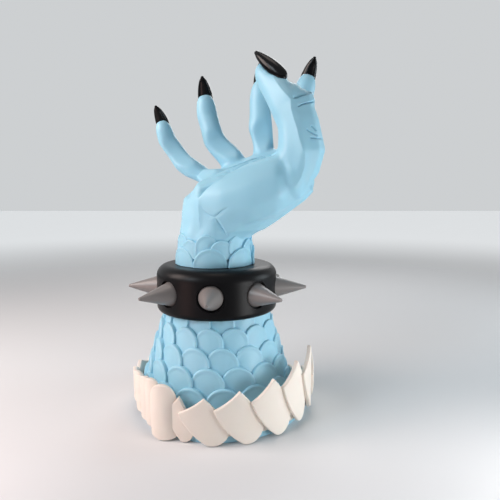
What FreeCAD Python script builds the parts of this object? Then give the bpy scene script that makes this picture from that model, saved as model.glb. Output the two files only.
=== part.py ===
import FreeCAD, Part
import math
import os
import Sketcher

Vector = FreeCAD.Vector
Rotation = FreeCAD.Rotation
Placement = FreeCAD.Placement

os.makedirs("parts", exist_ok=True)
doc = FreeCAD.newDocument("controller_stand")

# Driving dimensions, in millimetres and degrees. Azimuth 0 is the front, -Y, and grows towards +X.
SIZES = [
    ("flange_radius", 58.4),
    ("flange_height", 5.0),
    ("flange_edge", 1.2),
    ("flat_radius", 57.0),
    ("flat_shift_x", 4.6),
    ("flat_shift_y", -1.5),
    ("arm_foot_radius", 53.4),
    ("shoulder_radius", 32.6),
    ("shoulder_height", 67.4),
    ("boss_radius", 21.5),
    ("peg_radius", 11.0),
    ("peg_length", 18.0),
    ("fit_clearance", 0.3),
    ("scale_count", 15),
    ("scale_row_steps", 4),
    ("scale_drop", 4.7),
    ("scale_foot", 12.5),
    ("scale_stand", 5.2),
    ("scale_inset", 1.0),
    ("scale_face_slope", 0.146),
    ("scale_roundness", 0.64),
    ("scale_depth", 7.0),
    ("scale_turn", 7.5),
    ("cuff_radius", 40.0),
    ("cuff_height", 30.6),
    ("cuff_top_fillet", 7.2),
    ("cuff_foot_fillet", 3.4),
    ("spike_count", 8),
    ("spike_turn", -2.0),
    ("spike_rise", 14.6),
    ("spike_base_radius", 7.6),
    ("spike_length", 20.0),
    ("spike_tip_radius", 0.9),
    ("spike_pin_radius", 3.0),
    ("spike_pin_length", 7.0),
    ("seat_radius", 8.7),
    ("seat_depth", 1.9),
    ("ruff_stand", 4.5),
    ("ruff_centre_x", 2.3),
    ("ruff_wall", 2.8),
    ("ruff_band_height", 3.0),
    ("ruff_seat", 1.8),
    ("band_end", 38.0),
    ("ruff_yaw", 6.0),
    ("fin_bend", 48.0),
    ("petal_bend", 15.0),
    ("wrist_radius", 24.2),
    ("wrist_depth", 23.0),
    ("wrist_centre_x", 1.0),
    ("wrist_scale_count", 8),
    ("wrist_scale_step", 0.6),
    ("wrist_scale_roundness", 0.8),
    ("palm_height", 52.0),
    ("grip_radius", 19.0),
    ("grip_tilt", 12.0),
    ("grip_rise", 88.0),
    ("grip_centre_x", 20.0),
    ("grip_length", 240.0),
    ("grip_depth", 4.0),
    ("thumb_width", 29.0),
    ("thumb_depth", 25.0),
    ("finger_width", 17.5),
    ("finger_depth", 17.0),
    ("claw_length", 22.0),
    ("claw_width", 11.0),
]

sheet = doc.addObject("Spreadsheet::Sheet", "Sizes")
for row, (alias, size) in enumerate(SIZES, start=1):
    sheet.set(f"A{row}", alias)
    sheet.set(f"B{row}", str(size))
    sheet.setAlias(f"B{row}", alias)
doc.recompute()


def size(alias):
    """The value of one named cell as a plain number."""
    return float(getattr(sheet, alias))


def value(expression):
    """The number that an expression over the sheet's cells gives."""
    result = sheet.evalExpression(expression)
    return float(getattr(result, "Value", result))


def origin_plane(body, role):
    """The origin plane of a body with the given role."""
    for feature in body.Origin.OriginFeatures:
        if feature.Role == role:
            return feature
    raise ValueError(f"no {role} in {body.Label}")


def outline(body, name, role, corners, offset=None):
    """A closed sketch of straight edges, with each corner held by two expressions."""
    sketch = body.newObject("Sketcher::SketchObject", name)
    sketch.AttachmentSupport = [(origin_plane(body, role), "")]
    sketch.MapMode = "FlatFace"
    if offset is not None:
        sketch.setExpression(".AttachmentOffset.Base.z", offset)
    points = [Vector(value(across), value(up), 0) for across, up in corners]
    for start, end in zip(points, points[1:] + points[:1]):
        sketch.addGeometry(Part.LineSegment(start, end), False)
    count = len(points)
    for edge in range(count):
        sketch.addConstraint(Sketcher.Constraint("Coincident", edge, 2, (edge + 1) % count, 1))
    for edge, (across, up) in enumerate(corners):
        hold(sketch, "DistanceX", edge, across)
        hold(sketch, "DistanceY", edge, up)
    return sketch


def hold(sketch, kind, edge, expression):
    """Ties the start of an edge to the sketch's origin by a distance bound to an expression."""
    number = value(expression)
    index = sketch.addConstraint(Sketcher.Constraint(kind, -1, 1, edge, 1, number))
    sketch.setExpression(f"Constraints[{index}]", expression)


def revolved(body, name, sketch):
    """A full turn of a sketch about the body's vertical axis."""
    feature = body.newObject("PartDesign::Revolution", name)
    feature.Profile = sketch
    feature.ReferenceAxis = (sketch, ["V_Axis"])
    feature.Angle = 360
    sketch.Visibility = False
    return feature


def polar(body, name, originals, count):
    """Copies of features spread evenly about the body's vertical axis."""
    pattern = body.newObject("PartDesign::PolarPattern", name)
    pattern.Originals = originals
    axis = [f for f in body.Origin.OriginFeatures if f.Role == "Z_Axis"][0]
    pattern.Axis = (axis, [""])
    pattern.Angle = 360
    pattern.setExpression("Occurrences", count)
    body.Tip = pattern
    return pattern


def ring_edges(shape, radius, level):
    """The names of the circular edges of a shape that have this radius and height."""
    names = []
    for number, edge in enumerate(shape.Edges, start=1):
        if isinstance(edge.Curve, Part.Circle):
            same_radius = abs(edge.Curve.Radius - radius) < 1e-4
            if same_radius and abs(edge.Curve.Center.z - level) < 1e-4:
                names.append(f"Edge{number}")
    return names


# Arched scales: a ring of tiles with rounded tops, cut from a cone that leans less than the arm.
def scale_row(name, count, top, radius, reach, turn, roundness, lean, depth):
    """One ring of scales: arched blocks spread about the axis, trimmed to a cone."""
    spread = f"({radius} + {lean} * ({reach})) * tan(180 / {count}) + 0.15"
    half = value(spread)
    high = half * value(roundness)
    level = value(top)
    foot = level - value(reach)
    body = doc.addObject("PartDesign::Body", f"{name}_blocks")
    sketch = body.newObject("Sketcher::SketchObject", f"{name}_arch")
    sketch.AttachmentSupport = [(origin_plane(body, "XZ_Plane"), "")]
    sketch.MapMode = "FlatFace"
    sketch.setExpression(".AttachmentOffset.Base.z", f"{radius} - {depth}")
    spring = level - high
    arch_curve = Part.Arc(Vector(half, spring, 0), Vector(0, level, 0), Vector(-half, spring, 0))
    sketch.addGeometry(arch_curve, False)
    sketch.addGeometry(Part.LineSegment(Vector(-half, spring, 0), Vector(-half, foot, 0)), False)
    sketch.addGeometry(Part.LineSegment(Vector(-half, foot, 0), Vector(half, foot, 0)), False)
    sketch.addGeometry(Part.LineSegment(Vector(half, foot, 0), Vector(half, spring, 0)), False)
    pad = body.newObject("PartDesign::Pad", f"{name}_pad")
    pad.Profile = sketch
    pad.setExpression("Length", f"{depth} + {lean} * ({reach}) + 4")
    polar(body, f"{name}_ring", [pad], count)
    body.Placement = Placement(Vector(0, 0, 0), Rotation(Vector(0, 0, 1), turn))
    cone = doc.addObject("Part::Cone", f"{name}_cone")
    cone.setExpression("Radius1", f"{radius} + {lean} * ({reach})")
    cone.setExpression("Radius2", radius)
    cone.setExpression("Height", reach)
    cone.Placement = Placement(Vector(0, 0, foot), Rotation())
    row_shape = doc.addObject("Part::Common", name)
    row_shape.Base = body
    row_shape.Tool = cone
    return row_shape


# Forearm: a foot that is shallower on the left, a tapered arm, a boss through the cuff and a peg.
def build_forearm():
    """The arm with its rows of scales, as one solid."""
    core = doc.addObject("PartDesign::Body", "arm_core")
    profile = outline(core, "arm_profile", "XZ_Plane", [
        ("0", "0"),
        ("Sizes.flange_radius - Sizes.flange_edge", "0"),
        ("Sizes.flange_radius", "Sizes.flange_edge"),
        ("Sizes.flange_radius", "Sizes.flange_height"),
        ("Sizes.arm_foot_radius", "Sizes.flange_height"),
        ("Sizes.shoulder_radius", "Sizes.shoulder_height"),
        ("Sizes.boss_radius", "Sizes.shoulder_height"),
        ("Sizes.boss_radius", "Sizes.shoulder_height + Sizes.cuff_height - Sizes.fit_clearance"),
        ("Sizes.peg_radius", "Sizes.shoulder_height + Sizes.cuff_height - Sizes.fit_clearance"),
        ("Sizes.peg_radius", "Sizes.shoulder_height + Sizes.cuff_height + Sizes.peg_length"),
        ("0", "Sizes.shoulder_height + Sizes.cuff_height + Sizes.peg_length"),
    ])
    revolved(core, "arm_turned", profile)
    doc.recompute()
    rows = []
    first_top = "(Sizes.shoulder_height - Sizes.scale_drop)"
    last_top = "(Sizes.flange_height + Sizes.scale_foot)"
    pitch = f"(({first_top} - {last_top}) / Sizes.scale_row_steps)"
    first_radius = "(Sizes.shoulder_radius + Sizes.scale_stand)"
    last_radius = "(Sizes.arm_foot_radius - Sizes.scale_inset)"
    growth = f"(({last_radius} - {first_radius}) / Sizes.scale_row_steps)"
    for step in range(-1, int(size("scale_row_steps")) + 1):
        top = f"{first_top} - {pitch} * {step}"
        radius = f"({first_radius} + {growth} * {step})"
        reach = f"{pitch} * 2"
        if value(top) - value(reach) < size("flange_height"):
            reach = f"{top} - Sizes.flange_height"
        half_turn = 180.0 / size("scale_count") * (step % 2)
        turn = size("scale_turn") + half_turn - 180.0 / size("scale_count")
        rows.append(scale_row(
            f"scale_row_{step + 2}", "Sizes.scale_count", top, radius, reach, turn,
            "Sizes.scale_roundness", "Sizes.scale_face_slope", "Sizes.scale_depth"))
    doc.recompute()
    trim = doc.addObject("Part::Cylinder", "arm_trim")
    trim.setExpression("Radius", "Sizes.flange_radius")
    trim.setExpression("Height", "Sizes.shoulder_height")
    top_row = doc.addObject("Part::Common", "scale_row_top")
    top_row.Base = rows[0]
    top_row.Tool = trim
    scaled = doc.addObject("Part::MultiFuse", "arm_with_scales")
    scaled.Shapes = [core, top_row] + rows[1:]
    foot_block = doc.addObject("Part::Cylinder", "foot_block")
    foot_block.setExpression("Radius", "Sizes.flange_radius + 10")
    foot_block.setExpression("Height", "Sizes.flange_height")
    foot_round = doc.addObject("Part::Cylinder", "foot_round")
    foot_round.setExpression("Radius", "Sizes.flat_radius")
    foot_round.setExpression("Height", "Sizes.flange_height")
    foot_round.Placement = Placement(Vector(size("flat_shift_x"), size("flat_shift_y"), 0), Rotation())
    foot_waste = doc.addObject("Part::Cut", "foot_waste")
    foot_waste.Base = foot_block
    foot_waste.Tool = foot_round
    arm = doc.addObject("Part::Cut", "forearm")
    arm.Base = scaled
    arm.Tool = foot_waste
    arm.Label = "forearm"
    return arm


# Cuff: a turned ring with a big rounded shoulder and flat round seats, each with a hole for a pin.
def build_cuff():
    """The black ring that sits on the arm's shoulder."""
    body = doc.addObject("PartDesign::Body", "cuff")
    body.Label = "cuff"
    low = "Sizes.shoulder_height"
    high = "Sizes.shoulder_height + Sizes.cuff_height"
    bore = "Sizes.boss_radius + Sizes.fit_clearance"
    profile = outline(body, "cuff_profile", "XZ_Plane", [
        (bore, low),
        ("Sizes.cuff_radius", low),
        ("Sizes.cuff_radius", high),
        (bore, high),
    ])
    ring = revolved(body, "cuff_turned", profile)
    doc.recompute()
    shoulder = body.newObject("PartDesign::Fillet", "cuff_shoulder")
    shoulder.Base = (ring, ring_edges(ring.Shape, size("cuff_radius"), value(high)))
    shoulder.setExpression("Radius", "Sizes.cuff_top_fillet")
    doc.recompute()
    foot = body.newObject("PartDesign::Fillet", "cuff_foot")
    foot.Base = (shoulder, ring_edges(shoulder.Shape, size("cuff_radius"), value(low)))
    foot.setExpression("Radius", "Sizes.cuff_foot_fillet")
    doc.recompute()
    seat = round_pocket(body, "seat", "Sizes.seat_radius", "Sizes.cuff_radius + 2",
                        "Sizes.seat_depth + 2")
    pin = round_pocket(body, "pin_hole", "Sizes.spike_pin_radius + Sizes.fit_clearance / 3",
                       "Sizes.cuff_radius - Sizes.seat_depth",
                       "Sizes.spike_pin_length + Sizes.fit_clearance")
    polar(body, "seats", [seat, pin], "Sizes.spike_count")
    body.Placement = Placement(Vector(0, 0, 0), Rotation(Vector(0, 0, 1), size("spike_turn")))
    return body


def round_pocket(body, name, radius, start, depth):
    """A round pocket cut from the front towards the axis, at the level of the spikes."""
    sketch = body.newObject("Sketcher::SketchObject", f"{name}_circle")
    sketch.AttachmentSupport = [(origin_plane(body, "XZ_Plane"), "")]
    sketch.MapMode = "FlatFace"
    sketch.setExpression(".AttachmentOffset.Base.z", start)
    level = "Sizes.shoulder_height + Sizes.spike_rise"
    centre = Vector(0, value(level), 0)
    sketch.addGeometry(Part.Circle(centre, Vector(0, 0, 1), value(radius)), False)
    sketch.addConstraint(Sketcher.Constraint("PointOnObject", 0, 3, -2))
    rise = sketch.addConstraint(Sketcher.Constraint("DistanceY", -1, 1, 0, 3, value(level)))
    sketch.setExpression(f"Constraints[{rise}]", level)
    width = sketch.addConstraint(Sketcher.Constraint("Radius", 0, value(radius)))
    sketch.setExpression(f"Constraints[{width}]", radius)
    pocket = body.newObject("PartDesign::Pocket", name)
    pocket.Profile = sketch
    pocket.setExpression("Length", depth)
    doc.recompute()
    return pocket


# Spikes: turned cones with a blunt tip and a pin that is glued into the cuff.
def build_spike(number):
    """One spike, pointing outwards at its own azimuth."""
    body = doc.addObject("PartDesign::Body", f"spike_{number}")
    body.Label = f"spike_{number}"
    length = "Sizes.spike_length + Sizes.seat_depth"
    profile = outline(body, f"spike_profile_{number}", "XZ_Plane", [
        ("0", "0"),
        ("Sizes.spike_pin_radius", "0"),
        ("Sizes.spike_pin_radius", "Sizes.spike_pin_length"),
        ("Sizes.spike_base_radius", "Sizes.spike_pin_length"),
        ("Sizes.spike_tip_radius", f"Sizes.spike_pin_length + {length}"),
        ("0", f"Sizes.spike_pin_length + {length}"),
    ])
    revolved(body, f"spike_turned_{number}", profile)
    azimuth = size("spike_turn") + 360.0 / size("spike_count") * (number - 1)
    start = size("cuff_radius") - size("seat_depth") - size("spike_pin_length")
    turn = Rotation(Vector(0, 0, 1), azimuth)
    outward = turn.multVec(Vector(0, -1, 0))
    lay_down = Rotation(Vector(1, 0, 0), 90)
    place = outward * start + Vector(0, 0, value("Sizes.shoulder_height + Sizes.spike_rise"))
    body.Placement = Placement(place, turn.multiply(lay_down))
    return body


# Ruff: bent leaves of flat facets, each lapped over the one to its left, on a band.
LEAF_FORMS = {
    # four corners of a leaf, as shares of its width and height from its top
    "fin": [(-0.68, -0.32), (0.09, -0.985), (0.70, -0.72), (0.0, 0.0)],
    "petal": [(-0.56, -0.42), (-0.30, -1.0), (0.44, -0.86), (0.43, -0.24)],
}
LEAF_BULGES = {
    # a point of the curve that starts at each of those corners
    "fin": [(-0.40, -0.67), (0.30, -1.0), (0.45, -0.37), (-0.33, -0.185)],
    "petal": [(-0.60, -0.82), (0.16, -1.0), (0.46, -0.55), (-0.04, 0.0)],
}
# azimuth of the top, its level, height, width, step out and kind
LEAVES = [
    (-19.9, 28.4, 26.4, 12.5, -2.0, "fin"),
    (-6.0, 28.8, 28.4, 22.5, 0.0, "fin"),
    (13.5, 32.6, 32.2, 23.0, 0.0, "fin"),
    (33.5, 36.8, 35.6, 23.0, 0.0, "fin"),
    (52.2, 43.2, 40.0, 22.0, 0.0, "fin"),
    (71.5, 47.0, 43.0, 24.0, 0.0, "fin"),
    (90.0, 36.0, 33.0, 22.0, 0.0, "fin"),
    (107.0, 20.0, 18.0, 21.0, -0.5, "fin"),
    (124.0, 14.5, 13.0, 21.0, -0.5, "fin"),
    (141.0, 14.0, 12.8, 21.0, -0.5, "fin"),
    (158.0, 15.5, 14.0, 21.0, -0.5, "fin"),
    (175.0, 17.5, 16.0, 21.0, -0.5, "fin"),
    (192.0, 19.5, 17.6, 21.0, -0.5, "fin"),
    (209.0, 21.5, 19.0, 21.0, -1.0, "fin"),
    (226.0, 23.5, 18.5, 21.0, -1.7, "fin"),
    (243.0, 25.5, 17.5, 21.0, -2.5, "fin"),
    (260.0, 27.5, 16.5, 20.0, -3.0, "fin"),
    (277.0, 29.5, 17.5, 19.0, -3.0, "fin"),
    (294.0, 32.0, 20.6, 18.5, -3.0, "petal"),
    (307.5, 33.6, 24.4, 17.0, -2.3, "petal"),
    (319.0, 35.4, 28.2, 17.0, -1.5, "petal"),
    (325.8, 36.2, 29.6, 16.0, -0.8, "petal"),
    (331.0, 34.6, 34.2, 19.2, 0.6, "petal"),
]


def leaf_outline(kind, tall, wide):
    """The outline of a leaf as a polygon of short sides, with its top at 0, 0."""
    corners = [Vector(across * wide, 0, up * tall) for across, up in LEAF_FORMS[kind]]
    bulges = [Vector(across * wide, 0, up * tall) for across, up in LEAF_BULGES[kind]]
    ends = corners[1:] + corners[:1]
    points = []
    for start, via, end in zip(corners, bulges, ends):
        points += Part.Arc(start, via, end).toShape().discretize(5)[:-1]
    return Part.makePolygon(points + points[:1])


def leaf_shell(bend, height):
    """A stretch of upright wall in flat facets, whose outer face passes through the axis at the front."""
    wall = size("ruff_wall")
    turn = min(6.2 / bend, 0.32)
    outer = []
    inner = []
    for step in range(-3, 4):
        angle = step * turn
        outward = Vector(math.sin(angle), -math.cos(angle), 0)
        outer.append(outward * bend + Vector(0, bend, 0))
        inner.append(outward * (bend - wall) + Vector(0, bend, 0))
    points = outer + inner[::-1]
    return Part.Face(Part.makePolygon(points + points[:1])).extrude(Vector(0, 0, height))


def build_leaf(azimuth, top, tall, wide, out, kind):
    """One leaf of the ruff, a bent plate whose left edge stands further out."""
    wire = leaf_outline(kind, tall, wide)
    reach = 15
    wire.translate(Vector(0, -reach, top))
    block = Part.Face(wire).extrude(Vector(0, 2 * reach, 0))
    shell = leaf_shell(size(f"{kind}_bend"), top + 1)
    shell.rotate(Vector(0, 0, 0), Vector(0, 0, 1), size("ruff_yaw"))
    leaf = block.common(shell)
    leaf.translate(Vector(0, -(value("Sizes.flange_radius + Sizes.ruff_stand") + out), 0))
    leaf.rotate(Vector(0, 0, 0), Vector(0, 0, 1), azimuth)
    leaf.translate(Vector(size("ruff_centre_x"), 0, 0))
    clear = size("flange_radius") + size("fit_clearance")
    return leaf.cut(Part.makeCylinder(clear, size("flange_height")))


def build_ruff():
    """The ring of leaves and the band that rests on the flange and is open on the left."""
    low = size("flange_height")
    band_outer = value("Sizes.flange_radius + Sizes.ruff_stand - Sizes.ruff_wall + 0.8")
    band_inner = size("flange_radius") - size("ruff_seat")
    centre = Vector(size("ruff_centre_x"), 0, low)
    band = Part.makeCylinder(band_outer, size("ruff_band_height"), centre)
    band = band.cut(Part.makeCylinder(band_inner, size("ruff_band_height"), Vector(0, 0, low)))
    reach = size("flange_radius") * 2
    corner = Vector(-size("band_end") - reach, -reach, 0)
    band = band.cut(Part.makeBox(reach, 2 * reach, reach, corner))
    solid = build_leaf(*LEAVES[0])
    for leaf in LEAVES[1:]:
        solid = solid.fuse(build_leaf(*leaf))
    solid = solid.fuse(band)
    feature = doc.addObject("Part::Feature", "ruff")
    feature.Label = "ruff"
    feature.Shape = solid
    return feature


# Flesh of the hand: lofts through many-sided sections, so that soft creases run along each form.
# The levels of its stations are counted from the top of the cuff.
def wrist_level():
    """The level of the top of the cuff, where the hand starts."""
    return value("Sizes.shoulder_height + Sizes.cuff_height")


def section(centre, along, half_width, half_depth, turn=22.5, sides=8):
    """A closed polygon across a limb, wide along X and deep along Y when the limb points up."""
    along = Vector(along).normalize()
    across = Vector(0, 1, 0).cross(along).normalize()
    back = along.cross(across).normalize()
    points = []
    for side in range(sides):
        angle = math.radians(turn + 360.0 / sides * side)
        offset = across * (half_width * math.cos(angle)) + back * (half_depth * math.sin(angle))
        points.append(centre + offset)
    return Part.makePolygon(points + points[:1])


def limb(name, stations, turn=22.5, sides=8):
    """A loft through stations of x, y, z, half width and half depth."""
    lift = Vector(0, 0, wrist_level())
    centres = [Vector(*station[:3]) + lift for station in stations]
    wires = []
    for index, station in enumerate(stations):
        before = centres[max(index - 1, 0)]
        after = centres[min(index + 1, len(centres) - 1)]
        wires.append(section(centres[index], after - before, station[3], station[4], turn, sides))
    feature = doc.addObject("Part::Feature", name)
    feature.Shape = Part.makeLoft(wires, True, True)
    return feature


FINGERS = {
    # base x, y, z, splay of the three bones, length of the three bones, lean back, scale of the width
    "little": ((1.0, 20.0, 49.0), (-54.0, -36.0, -16.0), (32.0, 20.0, 14.0), (8.0, 8.0, -8.0), 0.84),
    "ring": ((17.0, 22.0, 57.0), (-37.0, -16.0, -6.0), (34.0, 19.0, 14.0), (10.0, 12.0, -6.0), 0.97),
    "middle": ((31.5, 22.0, 60.0), (-3.0, 0.0, 3.0), (34.0, 19.0, 15.0), (12.0, 14.0, -4.0), 1.04),
    "index": ((51.0, 20.0, 60.0), (7.0, 13.0, 17.0), (37.0, 21.0, 15.0), (13.0, 16.0, 0.0), 1.0),
}


def bone_direction(splay, lean):
    """The unit direction of a bone that points up, turned to the side and then backwards."""
    side = math.radians(splay)
    back = math.radians(lean)
    return Vector(math.sin(side) * math.cos(back), math.sin(back), math.cos(side) * math.cos(back))


def finger_joints(name):
    """The joints of a finger from its base to its tip, with the direction of its last bone."""
    base, splays, lengths, leans, _ = FINGERS[name]
    joints = [Vector(*base)]
    heading = None
    for splay, length, lean in zip(splays, lengths, leans):
        heading = bone_direction(splay, lean)
        joints.append(joints[-1] + heading * length)
    return joints, heading


def build_finger(name):
    """A finger with its knuckles a little thicker than its bones."""
    joints, heading = finger_joints(name)
    share = FINGERS[name][4]
    wide = size("finger_width") / 2 * share
    deep = size("finger_depth") / 2 * share
    stations = []
    widths = [1.08, 1.0, 1.0, 0.92, 0.94, 0.84, 0.52]
    spots = [
        joints[0],
        joints[0] + (joints[1] - joints[0]) * 0.55,
        joints[1],
        (joints[1] + joints[2]) * 0.5,
        joints[2],
        joints[2] + (joints[3] - joints[2]) * 0.6,
        joints[3],
    ]
    for spot, share_here in zip(spots, widths):
        stations.append((spot.x, spot.y, spot.z, wide * share_here, deep * share_here))
    return limb(f"finger_{name}", stations)


def claw_stations(root, heading, dorsal, length, width):
    """Stations of a claw that grows out of the back of a tip and bends towards its end."""
    shape = [(-0.42, 0.10, 0.30), (-0.30, 0.18, 0.72), (-0.05, 0.20, 1.0), (0.22, 0.10, 0.86),
             (0.45, -0.04, 0.55), (0.58, -0.14, 0.18)]
    stations = []
    for ahead, out, share in shape:
        spot = root + heading * (length * ahead) + dorsal * (length * out)
        stations.append((spot.x, spot.y, spot.z, width / 2 * share, width / 2.6 * share))
    return stations


def build_finger_claw(name):
    """A claw seated in the back of a finger tip."""
    joints, heading = finger_joints(name)
    share = FINGERS[name][4]
    side = heading.cross(Vector(1, 0, 0)).normalize()
    dorsal = side if side.y > 0 else side * -1
    stations = claw_stations(joints[3] - heading * 1.0, heading, dorsal,
                             size("claw_length") * share, size("claw_width") * share)
    claw = limb(f"claw_{name}", stations, 0.0, 8)
    claw.Label = f"claw_{name}"
    return claw


THUMB = [
    # x, y, z, share of the width, share of the depth
    (44.5, -11.0, 51.0, 1.0, 1.1),
    (50.5, -16.0, 60.0, 1.04, 1.16),
    (54.0, -19.0, 74.0, 1.04, 1.12),
    (52.0, -18.5, 89.0, 0.92, 1.0),
    (46.6, -15.0, 102.5, 0.97, 1.02),
    (38.6, -9.5, 114.5, 0.80, 0.84),
    (32.6, -5.5, 122.5, 0.64, 0.70),
    (29.4, -3.6, 127.5, 0.36, 0.42),
]


def build_thumb():
    """The thumb, with a crease down the middle of its front."""
    wide = size("thumb_width") / 2
    deep = size("thumb_depth") / 2
    stations = [(x, y, z, wide * across, deep * back) for x, y, z, across, back in THUMB]
    return limb("thumb", stations, 0.0, 8)


def build_thumb_claw():
    """The large claw on the front of the thumb's tip."""
    stations = [
        (45.5, -18.0, 116.0, 1.8, 1.4),
        (43.0, -17.6, 118.0, 4.2, 3.2),
        (38.5, -15.4, 122.3, 5.2, 4.2),
        (33.5, -12.2, 127.2, 4.8, 4.2),
        (29.0, -9.2, 131.4, 3.2, 3.0),
        (26.0, -7.0, 134.3, 0.9, 0.9),
    ]
    claw = limb("claw_thumb", stations, 0.0, 8)
    claw.Label = "claw_thumb"
    return claw


def level_section(centre_x, centre_y, level, half_x, half_y, sides=12, turn=15.0):
    """A level polygon."""
    return section(Vector(centre_x, centre_y, level), Vector(0, 0, 1), half_x, half_y, turn, sides)


def build_palm():
    """The palm, which widens and swings to the right from the wrist."""
    low = wrist_level()
    rise = size("palm_height")
    wide = size("wrist_radius")
    deep = size("wrist_depth")
    centre = size("wrist_centre_x")
    wires = [
        level_section(centre, 0.0, low, wide, deep),
        level_section(centre, 0.0, low + 0.26 * rise, wide, deep),
        level_section(centre + 3.0, -0.6, low + 0.42 * rise, wide + 3.6, deep + 1.0),
        level_section(centre + 11.0, -0.4, low + 0.64 * rise, wide + 11.6, deep + 3.0),
        level_section(centre + 17.6, 1.6, low + 0.81 * rise, wide + 17.2, deep + 4.0),
        level_section(centre + 21.3, 3.0, low + 0.93 * rise, wide + 19.6, deep + 3.6),
        level_section(centre + 24.0, 6.0, low + 1.04 * rise, wide + 18.0, deep + 1.0),
        level_section(centre + 26.0, 9.0, low + 1.2 * rise, wide + 13.0, deep - 3.0),
    ]
    palm = doc.addObject("Part::Feature", "palm")
    palm.Shape = Part.makeLoft(wires, True, True)
    return palm


def build_lobe(name, stations, sides=10, turn=18.0):
    """A swelling of the palm: a loft from left to right through upright sections."""
    wires = []
    for x, y, z, half_deep, half_high in stations:
        points = []
        for side in range(sides):
            angle = math.radians(turn + 360.0 / sides * side)
            up = wrist_level() + z + half_high * math.sin(angle)
            points.append(Vector(x, y + half_deep * math.cos(angle), up))
        wires.append(Part.makePolygon(points + points[:1]))
    lobe = doc.addObject("Part::Feature", name)
    lobe.Shape = Part.makeLoft(wires, True, True)
    return lobe


def build_hand(claws):
    """The hand in one piece: wrist scales, palm, lobes, thumb and fingers, less its seats."""
    low = wrist_level()
    forms = [build_palm()]
    forms.append(build_lobe("thenar", [
        (-17.0, -8.0, 39.0, 4.0, 6.0),
        (-11.0, -9.0, 40.0, 12.0, 14.0),
        (4.0, -11.0, 41.0, 18.0, 19.5),
        (20.0, -12.5, 45.0, 20.0, 21.5),
        (38.0, -14.0, 51.5, 19.5, 21.0),
        (53.0, -13.5, 57.0, 16.0, 17.0),
        (62.0, -12.0, 60.0, 9.0, 10.0),
    ]))
    forms.append(build_lobe("heel", [
        (-19.0, 12.0, 40.0, 4.0, 6.0),
        (-14.0, 14.0, 42.0, 11.0, 12.0),
        (2.0, 18.0, 48.0, 14.0, 16.0),
        (22.0, 20.0, 54.0, 14.0, 19.0),
        (44.0, 19.0, 59.0, 14.0, 19.0),
        (58.0, 17.0, 60.0, 10.0, 14.0),
    ]))
    forms.append(build_thumb())
    forms += [build_finger(name) for name in FINGERS]
    step = size("wrist_scale_step")
    wrist_rows = [
        (size("wrist_radius") + 0.2 + 2 * step, low + 12.5, 12.5, -3.0, 2),
        (size("wrist_radius") + 0.2 + step, low + 17.5, 10.0, 19.5, 1),
        (size("wrist_radius") + 0.2, low + 21.5, 9.0, -5.0, 0),
    ]
    for radius, top, reach, turn, number in wrist_rows:
        row_shape = scale_row(f"wrist_row_{number}", "Sizes.wrist_scale_count", str(top), str(radius),
                              str(reach), turn, "Sizes.wrist_scale_roundness", "0.02", "9")
        row_shape.Placement = Placement(Vector(size("wrist_centre_x"), 0, 0), Rotation())
        forms.append(row_shape)
    doc.recompute()
    flesh = doc.addObject("Part::MultiFuse", "hand_flesh")
    flesh.Shapes = forms
    socket = doc.addObject("Part::Cylinder", "hand_socket")
    socket.setExpression("Radius", "Sizes.peg_radius + Sizes.fit_clearance")
    socket.setExpression("Height", "Sizes.peg_length + 1 + Sizes.fit_clearance")
    socket.Placement = Placement(Vector(0, 0, low - 1), Rotation())
    grip = doc.addObject("Part::Cylinder", "grip_round")
    grip.setExpression("Radius", "Sizes.grip_radius")
    grip.setExpression("Height", "Sizes.grip_length")
    tilt = Rotation(Vector(0, 1, 0), 90 - size("grip_tilt"))
    middle = Vector(size("grip_centre_x"), size("grip_depth"), low + size("grip_rise"))
    along = tilt.multVec(Vector(0, 0, size("grip_length") / 2))
    grip.Placement = Placement(middle - along, tilt)
    tools = doc.addObject("Part::MultiFuse", "hand_cuts")
    tools.Shapes = [socket, grip]
    carved = doc.addObject("Part::Cut", "hand_carved")
    carved.Base = flesh
    carved.Tool = tools
    seats = doc.addObject("Part::MultiFuse", "claw_seats")
    seats.Shapes = claws
    hand = doc.addObject("Part::Cut", "hand")
    hand.Label = "hand"
    hand.Base = carved
    hand.Tool = seats
    return hand


forearm = build_forearm()
cuff = build_cuff()
spikes = [build_spike(number) for number in range(1, int(size("spike_count")) + 1)]
ruff = build_ruff()
claws = [build_thumb_claw()] + [build_finger_claw(name) for name in FINGERS]
hand = build_hand(claws)
doc.recompute()

nodes = [forearm, cuff] + spikes + [ruff, hand] + claws
for item in doc.Objects:
    if "Invalid" in item.State or "Error" in item.State:
        raise RuntimeError(f"{item.Label} did not build: {item.State}")
for node in nodes:
    if node.Shape.isNull() or not node.Shape.isValid():
        raise RuntimeError(f"{node.Label} has no valid shape")
    node.Shape.exportStep(f"parts/{node.Label}.step")
    print(node.Label, len(node.Shape.Solids), round(node.Shape.Volume / 1000.0, 1), "cm3")
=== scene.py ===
import logging
import math
from dataclasses import dataclass
from enum import Enum

import bmesh
import bpy
import numpy as np
from mathutils import Matrix, Vector


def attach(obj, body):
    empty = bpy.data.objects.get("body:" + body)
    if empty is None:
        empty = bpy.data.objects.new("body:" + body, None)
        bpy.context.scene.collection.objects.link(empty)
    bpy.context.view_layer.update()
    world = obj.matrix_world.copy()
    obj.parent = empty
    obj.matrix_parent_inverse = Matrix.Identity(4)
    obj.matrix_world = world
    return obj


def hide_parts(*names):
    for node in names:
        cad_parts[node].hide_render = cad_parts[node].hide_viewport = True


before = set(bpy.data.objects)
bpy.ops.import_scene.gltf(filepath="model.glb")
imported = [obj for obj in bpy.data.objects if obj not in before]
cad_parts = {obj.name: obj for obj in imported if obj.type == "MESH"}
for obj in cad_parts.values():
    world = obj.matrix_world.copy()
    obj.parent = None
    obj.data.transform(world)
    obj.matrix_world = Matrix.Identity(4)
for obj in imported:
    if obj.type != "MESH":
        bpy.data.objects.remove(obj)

log = logging.getLogger("controller_stand")

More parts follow.
